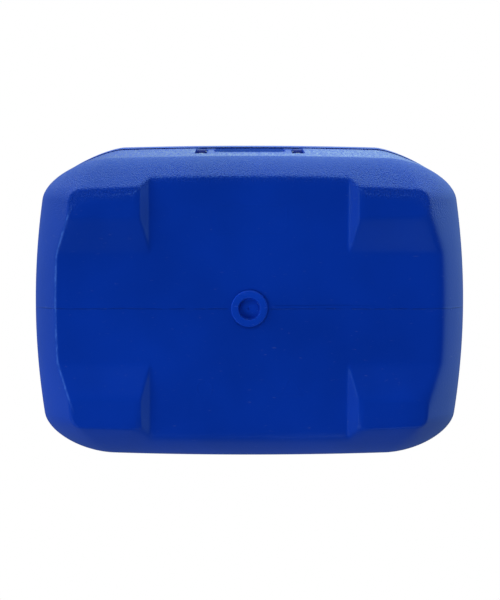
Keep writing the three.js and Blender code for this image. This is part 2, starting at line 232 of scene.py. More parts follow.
def both_sides(half):
    """The values of half and their negatives, in rising order."""
    return np.unique(np.concatenate([-half[::-1], half]))


def bowed(x, y, a, b, bow):
    """Pulls the corners of an outline of half sizes a, b in, which bows its sides: x loses
    bow (x / a)(y / b)^2 and y loses 4.2 (y / b)(x / a)^2."""
    u, v = x / a, y / b
    return x - bow * u * v * v, y - SIDE_BOW * v * u * u


def between(p, q, s):
    """Corner values (half axes and exponent) a share s of the way from p to q."""
    return [a + (b - a) * s for a, b in zip(p, q)]


def chin_level(inset):
    """Half sizes, corner and bow of the chin's outline where it is moved in by inset."""
    s = np.minimum(inset / CHIN_INSET, 1.0)
    rx, ry, n = between(CREASE_CORNER, SOLE_CORNER, s)
    bow = CREASE_BOW + (SOLE_BOW - CREASE_BOW) * s
    return HALF_LEN - CHIN_DRAW_X * inset, HALF_WID - CHIN_DRAW_Y * inset, rx, ry, n, bow


def inset_at(x, y):
    """How far in from the crease's outline each point lies, found by halving: a point is inside
    a level when (u^n + v^n) < 1 in its superellipse corner, or when it is within its sides."""
    low, high = np.zeros_like(x), np.full_like(x, 120.0)
    for _ in range(34):
        mid = (low + high) / 2
        a, b, rx, ry, n, _bow = chin_level(mid)
        u, v = (np.abs(x) - a + rx) / rx, (np.abs(y) - b + ry) / ry
        round_part = np.maximum(u, 0) ** n + np.maximum(v, 0) ** n - 1
        inside = np.where((u > 0) & (v > 0), round_part, np.maximum(np.abs(x) - a, np.abs(y) - b)) <= 1e-9
        low, high = np.where(inside, mid, low), np.where(inside, high, mid)
    return low


def base_height(x, y, inset):
    """Height of the underside. The chin is 36 (1 - (inset / 27.8)^0.811); each arm of the
    channel is 9 at its middle and falls to the feet's soles along a slope; the parts are
    joined by smooth maxima, which round their edges, more so away from the handle and keeper.
    The second value is how far the chin lies above the rest, 0 along the edge between them."""
    chin = CREASE_Z * (1 - (np.clip(inset, 0, CHIN_INSET * 1.5) / CHIN_INSET) ** CHIN_CURVE)
    across = FOOT_H * (CHANNEL_X[1] - np.abs(x)) / (CHANNEL_X[1] - CHANNEL_X[0])
    along = FOOT_H * (CHANNEL_Y[1] - np.abs(y)) / (CHANNEL_Y[1] - CHANNEL_Y[0])
    arm = smax(smin(across, FOOT_H, 1.4), smin(along, FOOT_H, 0.7), 0.9)
    softer = 1 / (1 + np.exp(-(x / 1.35 + y) / 9.0))
    z = smax(smax(chin, np.minimum(arm, FOOT_H), 0.7 + 3.8 * softer), 0 * x, 0.6)
    return np.maximum(z - 0.15, 0), chin - np.minimum(arm, FOOT_H)


def outline_at(x0, y0, a, b, rx, ry, n, bow):
    """The crease outline's points moved to an outline of half sizes a, b, corner rx, ry, n and bow.
    A corner point keeps its angle t, at (rx cos(t)^(2/n), ry sin(t)^(2/n)) from the corner's
    centre, and the straight sides slide out to meet the corners."""
    qx, qy, q = CREASE_CORNER
    cx0, cy0 = HALF_LEN - qx, HALF_WID - qy
    cos_t = np.clip((np.abs(x0) - cx0) / qx, 0, 1) ** (q / 2)
    sin_t = np.clip((np.abs(y0) - cy0) / qy, 0, 1) ** (q / 2)
    arc = (cos_t > 0) & (sin_t > 0)
    side = np.abs(x0) > HALF_LEN - 1e-3
    slide_x = np.clip((np.abs(x0) - SLIDE_X) / (cx0 - SLIDE_X), 0, 1) * (a - rx - cx0)
    slide_y = np.clip((np.abs(y0) - SLIDE_Y) / (cy0 - SLIDE_Y), 0, 1) * (b - ry - cy0)
    x = np.where(arc, a - rx + rx * cos_t ** (2 / n), np.where(side, a, np.abs(x0) + slide_x))
    y = np.where(arc, b - ry + ry * sin_t ** (2 / n), np.where(side, np.abs(y0) + slide_y, b))
    return bowed(np.sign(x0) * x, np.sign(y0) * y, a, b, bow)


def wall_outline(x0, y0, z, off=0.0):
    """The crease outline's points carried up the flared wall to height z and moved in by off."""
    out, s = (z - CREASE_Z) * FLARE - off, (z - CREASE_Z) / (RIM_Z - CREASE_Z)
    rx, ry, n = between(CREASE_CORNER, RIM_CORNER, s)
    rx, ry = np.maximum(rx - off, 6.0), np.maximum(ry - off, 6.0)
    return outline_at(x0, y0, HALF_LEN + out, HALF_WID + out, rx, ry, n, CREASE_BOW)


def pocket_depth(u, z, half, z0, z1, corner=3.0):
    """How far inside a pocket's mouth a point of the wall is: 0 outside it, 1 inside it.
    The mouth is a rounded rectangle, and the step takes 0.7 mm, so the pocket has drafted sides."""
    cu, cz = np.abs(u) - (half - corner), np.abs(z - (z0 + z1) / 2) - ((z1 - z0) / 2 - corner)
    d = np.hypot(np.maximum(cu, 0), np.maximum(cz, 0)) + np.minimum(np.maximum(cu, cz), 0) - corner
    t = np.clip((0.15 - d) / 0.7, 0, 1)
    return t * t * (3 - 2 * t)


def grid_faces(rows, cols, wrap=False):
    """Quads of a grid whose point (i, j) is i * cols + j; wrap joins the last column to the first."""
    i = np.arange(rows - 1)[:, None]
    j = np.arange(cols if wrap else cols - 1)[None, :]
    k = (j + 1) % cols
    quads = np.stack([i * cols + j, i * cols + k, (i + 1) * cols + k, (i + 1) * cols + j], -1)
    return quads.reshape(-1, 4)


def new_piece(name, points, faces, material, smooth=True):
    """A mesh object at the origin from points in millimetres and a list of face index arrays."""
    mesh = bpy.data.meshes.new(name)
    faces = [np.asarray(f) for f in faces]
    loops = np.concatenate([f.ravel() for f in faces]).astype(np.int32)
    sizes = np.concatenate([np.full(len(f), f.shape[1]) for f in faces]).astype(np.int32)
    mesh.vertices.add(len(points))
    mesh.vertices.foreach_set("co", (np.asarray(points, float) * 0.001).ravel())
    mesh.loops.add(len(loops))
    mesh.loops.foreach_set("vertex_index", loops)
    mesh.polygons.add(len(sizes))
    mesh.polygons.foreach_set("loop_start", np.concatenate([[0], np.cumsum(sizes)[:-1]]).astype(np.int32))
    mesh.update(calc_edges=True)
    mesh.validate()
    mesh.polygons.foreach_set("use_smooth", np.full(len(mesh.polygons), smooth))
    mesh.materials.append(material)
    obj = bpy.data.objects.new(name, mesh)
    scene.collection.objects.link(obj)
    return obj


def per_point(obj, name, values):
    """Stores one number per point of a mesh as the attribute name."""
    layer = obj.data.attributes.new(name, "FLOAT", "POINT")
    layer.data.foreach_set("value", np.asarray(values, np.float32).ravel())


# The underside is a grid whose columns stay straight over the channel and lean in at the corners.
cor_x, cor_y, cor_n = CREASE_CORNER
half_x = spaced((0, 17, 3), (17, 51.5, 4.3), (51.5, 55.5, 0.5), (55.5, 82, 4), (82, 97, 1.0), (97, 150, 6),
                (150, 158, 1.8), (158, 174, 1.2), (174, 188, 1.75), (188, 189.5, 0.5))
turn_at = spaced((0, 8, 4), (8, 30, 2), (30, 90, 3.33))
turn_y = HALF_WID - cor_y + cor_y * np.sin(np.radians(turn_at)) ** (2 / cor_n)
half_y = spaced((0, 1.6, 0.4), (1.6, 18.5, 3.2), (18.5, 21.5, 0.5), (21.5, 42, 4), (42, 54, 1.2),
                (54, 72, 3), (72, 84, 1.2), (84, 97, 3))
cols, rows = both_sides(half_x), both_sides(np.concatenate([half_y, turn_y]))
X, Y0 = np.meshgrid(cols, rows)
past = np.clip((np.abs(Y0) - HALF_WID + cor_y) / cor_y, 0, 1)
turned_in = cor_x * (1 - (1 - past**cor_n) ** (1 / cor_n))
X0 = X - np.sign(X) * turned_in * np.clip((np.abs(X) - LEAN_X) / (HALF_LEN - LEAN_X), 0, 1)
inset = inset_at(X0, Y0)
level_a, level_b, _rx, _ry, _n, level_bow = chin_level(np.minimum(inset, CHIN_INSET))
BX, BY = bowed(X0, Y0, level_a, level_b, level_bow)
BZ, over_edge = base_height(BX, BY, inset)
at_crease = (np.abs(X) > HALF_LEN - 1e-6) | (np.abs(Y0) > HALF_WID - 1e-6)
BZ = np.where(at_crease, CREASE_Z, np.minimum(BZ, CREASE_Z))
pinch = np.exp(-((BY / 0.55) ** 2)) * np.clip((np.hypot(BX, BY) - 18) / 3, 0, 1)
BZ = BZ - PINCH_H * pinch * np.clip(inset / 3, 0, 1)

ny, nx = X.shape
index = np.arange(ny * nx).reshape(ny, nx)
ring = np.concatenate([index[:, -1], index[-1, -2::-1], index[-2::-1, 0], index[0, 1:-1]])
ring_x, ring_y = X0.ravel()[ring], Y0.ravel()[ring]
levels = spaced((CREASE_Z, 40, 1.33), (40, 62.6, 7.5), (62.6, 65.2, 0.65), (65.2, 67.2, 0.5),
                (67.2, 119.6, 8.7), (119.6, 122.2, 0.65), (122.2, SHELL_TOP, 4))[1:]
ZW = levels[:, None] + 0 * ring_x[None, :]
WX, WY = wall_outline(ring_x[None, :], ring_y[None, :], ZW)
front_in = pocket_depth(WX, ZW, *FRONT_MOUTH) * (WY < -100)
front_back = -(FRONT_PIVOT[0] + FRONT_BACK + FLARE * (ZW - FRONT_PIVOT[1]))
WY = WY + (front_back - WY) * front_in
end_in = pocket_depth(WY, ZW, *END_MOUTH) * (np.abs(WX) > 150)
WX = WX + (np.sign(WX) * END_BACK - WX) * end_in
wall_points = np.stack([WX, WY, ZW], -1).reshape(-1, 3)
base_points = np.stack([BX, BY, BZ], -1).reshape(-1, 3)
base_quads = grid_faces(ny, nx)[:, ::-1]
centre = base_points[base_quads].mean(1)
kept = np.hypot(centre[:, 0], centre[:, 1]) > PLUG_HOLE - 0.1
hole_edge = np.intersect1d(base_quads[kept], base_quads[~kept])
base_points[hole_edge, :2] *= PLUG_HOLE / np.hypot(*base_points[hole_edge, :2].T)[:, None]
base_quads = base_quads[kept]
strip = np.vstack([ring[None, :], len(base_points) + np.arange(ZW.size).reshape(ZW.shape)])
lower, upper = strip[:-1], strip[1:]
wall_quads = np.stack([lower, np.roll(lower, -1, 1), np.roll(upper, -1, 1), upper], -1).reshape(-1, 4)

BLUE, BLUE_SHEEN = (0.0018, 0.0370, 0.425, 1), (0.42, 0.85, 1.0, 1)


def group_of(name, inputs, outputs):
    """An empty shader node group: inputs are (socket, kind, value), outputs (socket, kind)."""
    tree = bpy.data.node_groups.new(name, "ShaderNodeTree")
    for socket, kind, value in inputs:
        made = tree.interface.new_socket(socket, in_out="INPUT", socket_type="NodeSocket" + kind)
        made.default_value = value
    for socket, kind in outputs:
        tree.interface.new_socket(socket, in_out="OUTPUT", socket_type="NodeSocket" + kind)
    return tree, tree.nodes.new("NodeGroupInput"), tree.nodes.new("NodeGroupOutput")


def material_of(name, **settings):
    """A Principled material with its plain values set on the shader's own sockets."""
    material = bpy.data.materials.new(name)
    material.use_nodes = True
    shader = material.node_tree.nodes["Principled BSDF"]
    for key, value in settings.items():
        shader.inputs[key.replace("_", " ")].default_value = value
    return material, material.node_tree, shader


def noise(tree, place, scale, detail, **settings):
    """The value of a Noise texture at place, which is a socket."""
    node = put(tree, "TexNoise", ("Vector", place), Scale=scale, Detail=detail, **settings)
    return node.outputs["Fac"]


def drawn_out(tree, place, *scale, **settings):
    """The place scaled by axis, so that a pattern of scale 1 on it is longest along the least."""
    return put(tree, "Mapping", ("Vector", place), Scale=scale, **settings).outputs[0]


# Moulded skin: a pebble grain, slow ripples from the cooling wall, streaks that run up the walls,
# a faint cloudiness in the colour, and a few fine rubs.
skin_group, g_in, g_out = group_of(
    "moulded_skin",
    [("Colour", "Color", (0.1, 0.1, 0.1, 1)), ("Rough", "Float", 0.4), ("Grain", "Float", 1.0),
     ("Size", "Float", 520.0), ("Ripple", "Float", 1.0), ("Streak", "Float", 0.0), ("Rub", "Float", 0.3)],
    [("Colour", "Color"), ("Roughness", "Float"), ("Height", "Float")])
t = skin_group
place = put(t, "TexCoord").outputs["Object"]
pebble = put(t, "TexVoronoi", ("Vector", place), ("Scale", g_in.outputs["Size"]),
             feature="SMOOTH_F1", Smoothness=0.5)
cloud = noise(t, place, 9.0, 3.0, Roughness=0.55)
streaks = noise(t, drawn_out(t, place, 520, 520, 4), 1.0, 3.0, Roughness=0.7)
rubs = noise(t, drawn_out(t, place, 160, 420, 120, Rotation=(0, 0, 0.4)), 1.0, 4.0)
rub = times(t, ranged(t, rubs, 0.64, 0.8), g_in.outputs["Rub"])
grain = plus(t, times(t, pebble.outputs["Distance"], -1.0), times(t, noise(t, place, 900.0, 3.0), 0.35))
lines = times(t, minus(t, streaks, 0.5), g_in.outputs["Streak"])
ripples = times(t, times(t, noise(t, place, 24.0, 1.5), 1.6), g_in.outputs["Ripple"])
height = plus(t, times(t, grain, g_in.outputs["Grain"]), ripples)
height = plus(t, height, times(t, lines, 0.2))
tone = plus(t, ranged(t, cloud, 0.3, 0.7, 0.92, 1.09), times(t, lines, 0.14))
shade = put(t, "HueSaturation", ("Color", g_in.outputs["Colour"]), ("Value", tone))
pale = blended(t, times(t, rub, 0.3), shade.outputs[0], (0.30, 0.42, 0.62, 1))
rough = plus(t, g_in.outputs["Rough"], times(t, minus(t, cloud, 0.5), 0.10))
rough = plus(t, rough, plus(t, times(t, rub, 0.2), times(t, lines, 0.8)))
rough = plus(t, rough, times(t, g_in.outputs["Grain"], 0.08), clamp=True)
for socket, source in (("Colour", pale), ("Roughness", rough), ("Height", height)):
    t.links.new(source, g_out.inputs[socket])


def dressed(material, group, strength, distance, **values):
    """Places a group in a material and wires its colour, its roughness and its height as a bump."""
    tree = material.node_tree
    skin = put(tree, "Group")
    skin.name, skin.node_tree = "skin", group
    for key, value in values.items():
        skin.inputs[key].default_value = value
    lift = put(tree, "Bump", ("Height", skin.outputs["Height"]), Strength=strength, Distance=distance)
    lift.name = "lift"
    shader = tree.nodes["Principled BSDF"]
    tree.links.new(skin.outputs["Colour"], shader.inputs["Base Color"])
    tree.links.new(skin.outputs["Roughness"], shader.inputs["Roughness"])
    tree.links.new(lift.outputs[0], shader.inputs["Normal"])
    return material


def moulded(name, colour, rough, grain=1.0, size=520.0, ripple=1.0, streak=0.0, rub=0.3, bump=0.5,
            **settings):
    """A moulded plastic: the skin group feeds colour, roughness and a bump."""
    material = material_of(name, IOR=1.49, **settings)[0]
    return dressed(material, skin_group, bump, 0.0008, Colour=colour, Rough=rough, Grain=grain, Size=size,
                   Ripple=ripple, Streak=streak, Rub=rub)


def line_mask(tree, distance, width):
    """1 where the distance is 0, falling to 0 at width on both sides."""
    return ranged(tree, maths(tree, "ABSOLUTE", distance), 0.0, width, 1.0, 0.0)


shell_skin = moulded("shell_polyethylene", BLUE, 0.30, size=820.0, ripple=0.6, rub=0.3, bump=0.6,
                     Specular_Tint=BLUE_SHEEN)
tree = shell_skin.node_tree
shader, skin, lift = (tree.nodes[node] for node in ("Principled BSDF", "skin", "lift"))
for name, socket in (("grained", "Grain"), ("streaked", "Streak")):
    tree.links.new(put(tree, "Attribute", attribute_name=name).outputs["Fac"], skin.inputs[socket])

# The mould's fine marks on the base, in metres: the pinch line with its flash and specks, a raised
# frame, a ring and a triangle, which are plain shapes with nothing written in them.
place = put(tree, "TexCoord").outputs["Object"]
axes = put(tree, "SeparateXYZ", (0, place))
px, py, pz = axes.outputs
on_base = ranged(tree, pz, 0.034, 0.036, 1.0, 0.0)
off_plug = ranged(tree, maths(tree, "ABSOLUTE", px), 0.0175, 0.019)
wander = noise(tree, drawn_out(tree, place, 22, 0, 0), 1.0, 2.0)
from_pinch = plus(tree, py, times(tree, minus(tree, wander, 0.5), 0.0022))
faint = ranged(tree, noise(tree, place, 90.0, 2.0), 0.36, 0.56, 0.35, 1.0)
pinch_line = times(tree, line_mask(tree, from_pinch, 0.0009), faint)
flash_run = times(tree, ranged(tree, px, 0.02, 0.024), ranged(tree, px, 0.07, 0.12, 0.6, 0.0))
flash = times(tree, line_mask(tree, plus(tree, from_pinch, 0.0028), 0.0008), flash_run)
pinch_line = maths(tree, "MAXIMUM", pinch_line, flash)
pinch_line = times(tree, times(tree, pinch_line, on_base), off_plug)
speck = ranged(tree, noise(tree, place, 520.0, 1.0), 0.66, 0.72)
speck = times(tree, speck, line_mask(tree, plus(tree, py, -0.0006), 0.0022))


def ring_mark(cx, cy, core_x, core_y, radius):
    """The line round a rounded rectangle: it lies where the distance to the core is radius."""
    squares = []
    for at, middle, core in ((px, cx, core_x), (py, cy, core_y)):
        gap = minus(tree, maths(tree, "ABSOLUTE", minus(tree, at, middle)), core)
        squares.append(maths(tree, "POWER", maths(tree, "MAXIMUM", gap, 0.0), 2.0))
    reach = maths(tree, "SQRT", plus(tree, *squares))
    return line_mask(tree, minus(tree, reach, radius), 0.0008)


def triangle_mark(cx, cy, reach):
    """The line round a triangle: it lies where the furthest of three side distances is reach."""
    dx, dy = minus(tree, px, cx), minus(tree, py, cy)
    sides = [plus(tree, times(tree, dx, math.cos(a)), times(tree, dy, math.sin(a)))
             for a in np.radians((90, 210, 330)).tolist()]
    furthest = maths(tree, "MAXIMUM", maths(tree, "MAXIMUM", sides[0], sides[1]), sides[2])
    return line_mask(tree, minus(tree, furthest, reach), 0.0010)


frame_mark = ring_mark(-0.0005, -0.0775, 0.0300, 0.0088, 0.003)
round_mark = ring_mark(-0.039, 0.070, 0.0, 0.0, 0.0068)
marks = maths(tree, "MAXIMUM", frame_mark, round_mark)
marks = maths(tree, "MAXIMUM", marks, triangle_mark(0.036, 0.070, 0.0055))
marks = times(tree, marks, ranged(tree, pz, 0.010, 0.011, 1.0, 0.0))
raised = plus(tree, times(tree, marks, 0.16), times(tree, pinch_line, 0.22))
raised = plus(tree, raised, times(tree, speck, 0.5))

# A fine raised bead stands along the edge between chin and base, its colour lightened there as a painted
# highlight:
# continuous on the keeper's side, and broken into grains on the handle's side.
edge_gap = put(tree, "Attribute", attribute_name="edge_gap").outputs["Fac"]
keeper_way = ranged(tree, px, -0.150, -0.158)
handle_way = times(tree, ranged(tree, py, -0.094, -0.100), ranged(tree, px, 0.150, 0.140))
grain_breakup = ranged(tree, noise(tree, place, 560.0, 1.5), 0.50, 0.64)
bead_breakup = ranged(tree, noise(tree, place, 150.0, 3.0), 0.34, 0.60, 0.20, 1.0)
wobble = plus(tree, edge_gap, times(tree, minus(tree, noise(tree, place, 310.0, 2.0), 0.5), 2.2))
bead = times(tree, times(tree, line_mask(tree, wobble, 1.5), keeper_way), bead_breakup)
grains = times(tree, times(tree, line_mask(tree, plus(tree, edge_gap, 0.5), 2.0), handle_way), grain_breakup)
edge_bead_and_glint = maths(tree, "MAXIMUM", times(tree, bead, 0.42), times(tree, grains, 0.32))
raised = plus(tree, raised, times(tree, edge_bead_and_glint, 0.4))
tree.links.new(plus(tree, skin.outputs["Height"], raised), lift.inputs["Height"])
darker = blended(tree, times(tree, pinch_line, 0.45), skin.outputs["Colour"], (0.0004, 0.008, 0.12, 1))
# The bead and its grains are coloured paler here: a painted highlight along the chin's edge, over the real
# raised bead.
glinted_edge_colour = blended(tree, edge_bead_and_glint, darker, (0.075, 0.23, 0.80, 1))
tree.links.new(glinted_edge_colour, shader.inputs["Base Color"])

shell_points = np.vstack([base_points, wall_points])
shell = new_piece("shell_moulding", shell_points, [base_quads, wall_quads], shell_skin)
front_way = np.clip((-BY - 62) / 30, 0, 1) * np.clip((190 - np.abs(BX) - 0.25 * (BY + 133)) / 30, 0, 1)
base_grain = 0.10 + 1.3 * front_way * (0.35 + 0.65 * np.clip(inset / 14, 0, 1))
base_grain = base_grain * np.clip((over_edge + 9) / 9, 0, 1)
for name, on_the_base, on_the_wall in (
        ("grained", base_grain, np.full(ZW.size, 0.03)), ("edge_gap", over_edge, np.full(ZW.size, 30.0)),
        ("streaked", np.zeros(BZ.size), np.clip((ZW - CREASE_Z) / 6, 0, 1))):
    per_point(shell, name, np.concatenate([on_the_base.ravel(), on_the_wall.ravel()]))
thick = shell.modifiers.new("wall", "SOLIDIFY")
thick.thickness, thick.offset = WALL_T * 0.001, -1
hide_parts("outer_shell")
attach(shell, "box")

# ---------------------------------------------------------------- base plug
# A turned-looking moulded plug in the shell's blue, made lighter as painted light that lifts the shade in its
# recess.
# Its flange stands proud of the base round a round recess with a gate dimple, and a snap ridge on its shank
# holds it in the hole.


def filleted(corners, closed=False):
    """Rounds a polyline of (u, v, radius). The arc at a corner that turns by t touches both sides
    at radius tan(t / 2) from it, and never takes more than half of a side."""
    kept, n = [], len(corners)
    for k, (u, v, r) in enumerate(corners):
        here = np.array([u, v], float)
        if r == 0 or (not closed and k in (0, n - 1)):
            kept.append(here[None])
            continue
        back = np.array(corners[k - 1][:2], float) - here
        ahead = np.array(corners[(k + 1) % n][:2], float) - here
        la, lb = np.hypot(*back), np.hypot(*ahead)
        back, ahead = back / la, ahead / lb
        turned_by = math.pi - math.acos(np.clip(back @ ahead, -1, 1))
        cut = min(r * math.tan(turned_by / 2), 0.49 * min(la, lb))
        s = np.linspace(0, 1, max(int(math.degrees(turned_by) / 15), 2) + 1)[:, None]
        p, q = here + back * cut, here + ahead * cut
        w = 1 / max(math.cos(turned_by / 2), 0.2)
        blend = (1 - s) ** 2 + 2 * s * (1 - s) / w + s**2
        kept.append(((1 - s) ** 2 * p + 2 * s * (1 - s) / w * here + s**2 * q) / blend)
    return np.concatenate(kept)


def facing_out(points, faces):
    """Turns all faces over if the volume they enclose, the sum of p0 . (pi x pj) / 6, is negative."""
    total = 0.0
    for f in faces:
        p = points[f]
        for k in range(1, f.shape[1] - 1):
            total += (p[:, 0] * np.cross(p[:, k], p[:, k + 1])).sum()
    return faces if total > 0 else [f[:, ::-1] for f in faces]


UPRIGHT, MIDDLE = np.eye(3), np.zeros(3)


def revolved(profile, segments=96, axes=UPRIGHT, origin=MIDDLE, closed=False):
    """A profile of (r, z) carried round: its points are (r cos t, r sin t, z), placed by the
    columns of axes at origin. An open profile starts and ends on the axis, at a pole."""
    t = np.linspace(0, 2 * math.pi, segments, endpoint=False)
    ring = profile if closed else profile[1:-1]
    pts = np.stack([ring[:, :1] * np.cos(t), ring[:, :1] * np.sin(t), ring[:, 1:] + 0 * t], -1).reshape(-1, 3)
    rows = len(ring)
    if closed:
        faces = [grid_faces(rows + 1, segments, wrap=True) % (rows * segments)]
    else:
        poles = np.array([[0, 0, profile[0, 1]], [0, 0, profile[-1, 1]]])
        pts = np.vstack([pts, poles])
        j = np.arange(segments)
        k = (j + 1) % segments
        last = (rows - 1) * segments
        first_cap = np.stack([0 * j + rows * segments, k, j], 1)
        last_cap = np.stack([0 * j + rows * segments + 1, last + j, last + k], 1)
        faces = [grid_faces(rows, segments, wrap=True), first_cap, last_cap]
    pts = pts @ axes.T + origin
    return pts, facing_out(pts, faces)


def finished(name, shapes, material, node, body="box"):
    """One object from several (points, faces) shapes, which stands for a CAD node and rides a body."""
    points, faces, start = [], [], 0
    for p, f in shapes:
        points.append(p)
        faces += [g + start for g in f]
        start += len(p)
    obj = new_piece(name, np.vstack(points), faces, material)
    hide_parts(node)
    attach(obj, body)
    return obj


PLUG_Z = 8.7
plug_profile = filleted([
    (0, PLUG_Z + 3.6, 0), (1.1, PLUG_Z + 3.6, 0.15), (1.5, PLUG_Z + 3, 0.15), (9.2, PLUG_Z + 3, 0.5),
    (9.6, PLUG_Z - 2, 0.7), (15.4, PLUG_Z - 2, 0.9), (16.2, PLUG_Z, 0.2), (12, PLUG_Z, 0),
    (12, PLUG_Z + 3.9, 0.3), (12.9, PLUG_Z + 4.6, 0.3), (12, PLUG_Z + 7, 0.5), (11, PLUG_Z + 9.3, 0.6),
    (0, PLUG_Z + 9.3, 0)])
# Its blue is lighter than the shell's: painted light that lifts the shade in the plug's recess.
plug_skin = moulded("plug_polyethylene", (0.0035, 0.050, 0.53, 1), 0.27, grain=0.0, ripple=0.5, rub=0.3,
                    bump=0.3, Specular_Tint=BLUE_SHEEN)
finished("plug_moulding", [revolved(plug_profile, 128)], plug_skin, "base_plug")

# ---------------------------------------------------------------- inner tray
# A vacuum-formed liner of the same plastic. Its flange is the rim that washers land past, and its
# turned-down lip clips over the shell's edge. Both ends are notched where the clip and keeper sit.
LIP_NOTCH_X, LIP_NOTCH_HALF, FLANGE_UNDER = 185.2, 19.5, 130.8


def towards(x, y, s, hole):
    """Carries an outline in to a round hole: s = 1 is the outline and s = 0 the circle."""
    r = np.maximum(np.hypot(x, y), 1e-9)
    return s * x + (1 - s) * hole * x / r, s * y + (1 - s) * hole * y / r


def around(stations):
    """A closed ring-shaped surface through rows of (x, y, z) arrays that run round the box."""
    pts = np.stack([np.stack(np.broadcast_arrays(*row), -1) for row in stations])
    rows, cols = pts.shape[:2]
    flat = pts.reshape(-1, 3)
    quads = grid_faces(rows + 1, cols, wrap=True) % (rows * cols)
    return flat, facing_out(flat, [quads])


tray_section = filleted([
    (30, 29, 0), (24.5, 31, 2), (21, 37, 3), (21, 130.8, 1.5), (-0.4, 130.8, 0.4), (-0.4, 123.5, 0.2),
    (-0.8, 123.5, 0.2), (-1.5, 131.8, 1.4), (-0.2, 133.8, 1.2), (21.5, 133.8, 2.6), (24, 130.4, 2.4),
    (24, 44, 9), (26.5, 36, 5), (36, 32, 4), (40, 32, 0)])
wall_run = np.linspace(0, 1, 14)[1:-1, None]
sides = []
for point, following in zip(tray_section[:-1], tray_section[1:]):
    sides.append(point[None])
    if abs(following[1] - point[1]) > 40:
        sides.append(point + (following - point) * wall_run)
tray_section = np.concatenate(sides + [tray_section[-1:]])
tray_rows = []
for off, z in tray_section:
    x, y = wall_outline(ring_x, ring_y, z, off)
    cut = (np.abs(y) <= LIP_NOTCH_HALF) & (np.abs(x) > LIP_NOTCH_X) & (z > 100)
    tray_rows.append((np.where(cut, np.sign(x) * LIP_NOTCH_X, x), y, np.where(cut, max(z, FLANGE_UNDER), z)))
for z, shares in ((32.0, np.linspace(0.94, 0, 12)), (29.0, np.linspace(0, 0.94, 8))):
    x, y = wall_outline(ring_x, ring_y, z, 36.0)
    tray_rows += [(*towards(x, y, s, 3.0), z + 0 * x) for s in shares]
tray_skin = moulded("tray_polyethylene", (0.006, 0.060, 0.50, 1), 0.36, grain=0.35, size=700.0,
                    ripple=0.8, rub=0.8, bump=0.35)
tray = finished("tray_moulding", [around(tray_rows)], tray_skin, "inner_tray")
merged = bmesh.new()
merged.from_mesh(tray.data)
bmesh.ops.remove_doubles(merged, verts=merged.verts, dist=2e-5)
bmesh.ops.dissolve_degenerate(merged, edges=merged.edges, dist=1e-5)
merged.to_mesh(tray.data)
merged.free()

# ---------------------------------------------------------------- foam core
# A moulded bead-foam pad between the tray's floor and the base, which deadens the washers.
# The hole in its middle leaves room for the cup's screw and the plug.
FOAM_Z, FOAM_HOLE, FOAM_OFF = (12.9, 28.6), 15.0, 8.0


def chin_outline(z, off):
    """The chin's outline at height z, moved in by off: its inset there is 27.8 (1 - z / 36)^1.233."""
    a, b, rx, ry, n, bow = chin_level(CHIN_INSET * (1 - z / CREASE_Z) ** 1.233)
    return outline_at(ring_x, ring_y, a - off, b - off, max(rx - off, 6), max(ry - off, 6), n, bow)


foam_low, foam_high = FOAM_Z
foam_rows = [(*chin_outline(foam_low, FOAM_OFF + 2.0), foam_low)]
foam_rows += [(*chin_outline(z, FOAM_OFF), z) for z in np.linspace(foam_low, foam_high, 9)]
foam_rows += [(*chin_outline(foam_high, FOAM_OFF + 2.0), foam_high)]
for z, shares in ((foam_high, np.linspace(0.9, 0, 10)), (foam_low, np.linspace(0, 0.9, 10))):
    foam_rows += [(*towards(*chin_outline(z, FOAM_OFF), s, FOAM_HOLE), z) for s in shares]
foam_skin, tree, shader = material_of("bead_foam", Roughness=0.9)
place = put(tree, "TexCoord").outputs["Object"]
foam_bead = put(tree, "TexVoronoi", ("Vector", place), Scale=260.0)
bead_wall = put(tree, "TexVoronoi", ("Vector", place), feature="DISTANCE_TO_EDGE", Scale=260.0)
bead_mask = ranged(tree, bead_wall.outputs["Distance"], 0.0, 0.12)
bead_tone = blended(tree, bead_mask, (0.62, 0.62, 0.59, 1), (0.84, 0.84, 0.81, 1))
tree.links.new(bead_tone, shader.inputs["Base Color"])
bead_lift = put(tree, "Bump", ("Height", foam_bead.outputs["Distance"]), Strength=0.5, Distance=0.0008)
bead_lift.invert = True
tree.links.new(bead_lift.outputs[0], shader.inputs["Normal"])
foam = finished("foam_pad", [around(foam_rows)], foam_skin, "foam_core")

# ---------------------------------------------------------------- play mat
# Needle felt, 3.5 mm thick, die-cut to the tray's floor with a round hole for the cup. It lies
# loose on the floor, and its top is a little uneven.
MAT_Z, MAT_TOP, MAT_HOLE, MAT_OFF = 32.3, 35.8, 58.0, 38.0


def unevenness(x, y):
    """Slow swells of about 0.15 mm: three crossed sine waves of 41 to 97 mm."""
    waves = np.sin(x / 9.7 + 1.3) * np.cos(y / 6.5) + np.sin(x / 15.4 - y / 11.0)
    return 0.07 * (waves + np.cos(y / 8.1 + x / 31.0))


mat_x, mat_y = wall_outline(ring_x, ring_y, MAT_Z, MAT_OFF)
mat_rows = [(mat_x, mat_y, MAT_Z), (mat_x, mat_y, MAT_TOP - 1.1)]
for s in np.concatenate([[1 - 0.004, 1 - 0.013], np.linspace(0.96, 0.04, 26), [0.013, 0.004]]):
    full = min(1.0, min(s, 1 - s) / 0.013)
    x, y = towards(mat_x, mat_y, s, MAT_HOLE)
    mat_rows.append((x, y, MAT_TOP - 0.3 - 0.6 * (1 - full) + unevenness(x, y) * full))
hole_x, hole_y = towards(mat_x, mat_y, 0.0, MAT_HOLE)
mat_rows += [(hole_x, hole_y, MAT_TOP - 1.1), (hole_x, hole_y, MAT_Z)]
mat_rows += [(*towards(mat_x, mat_y, s, MAT_HOLE), MAT_Z) for s in np.linspace(0.1, 0.9, 9)]
felt, tree, shader = material_of("needle_felt", Roughness=1.0, Sheen_Weight=0.25, Sheen_Roughness=0.6)
place = put(tree, "TexCoord").outputs["Object"]
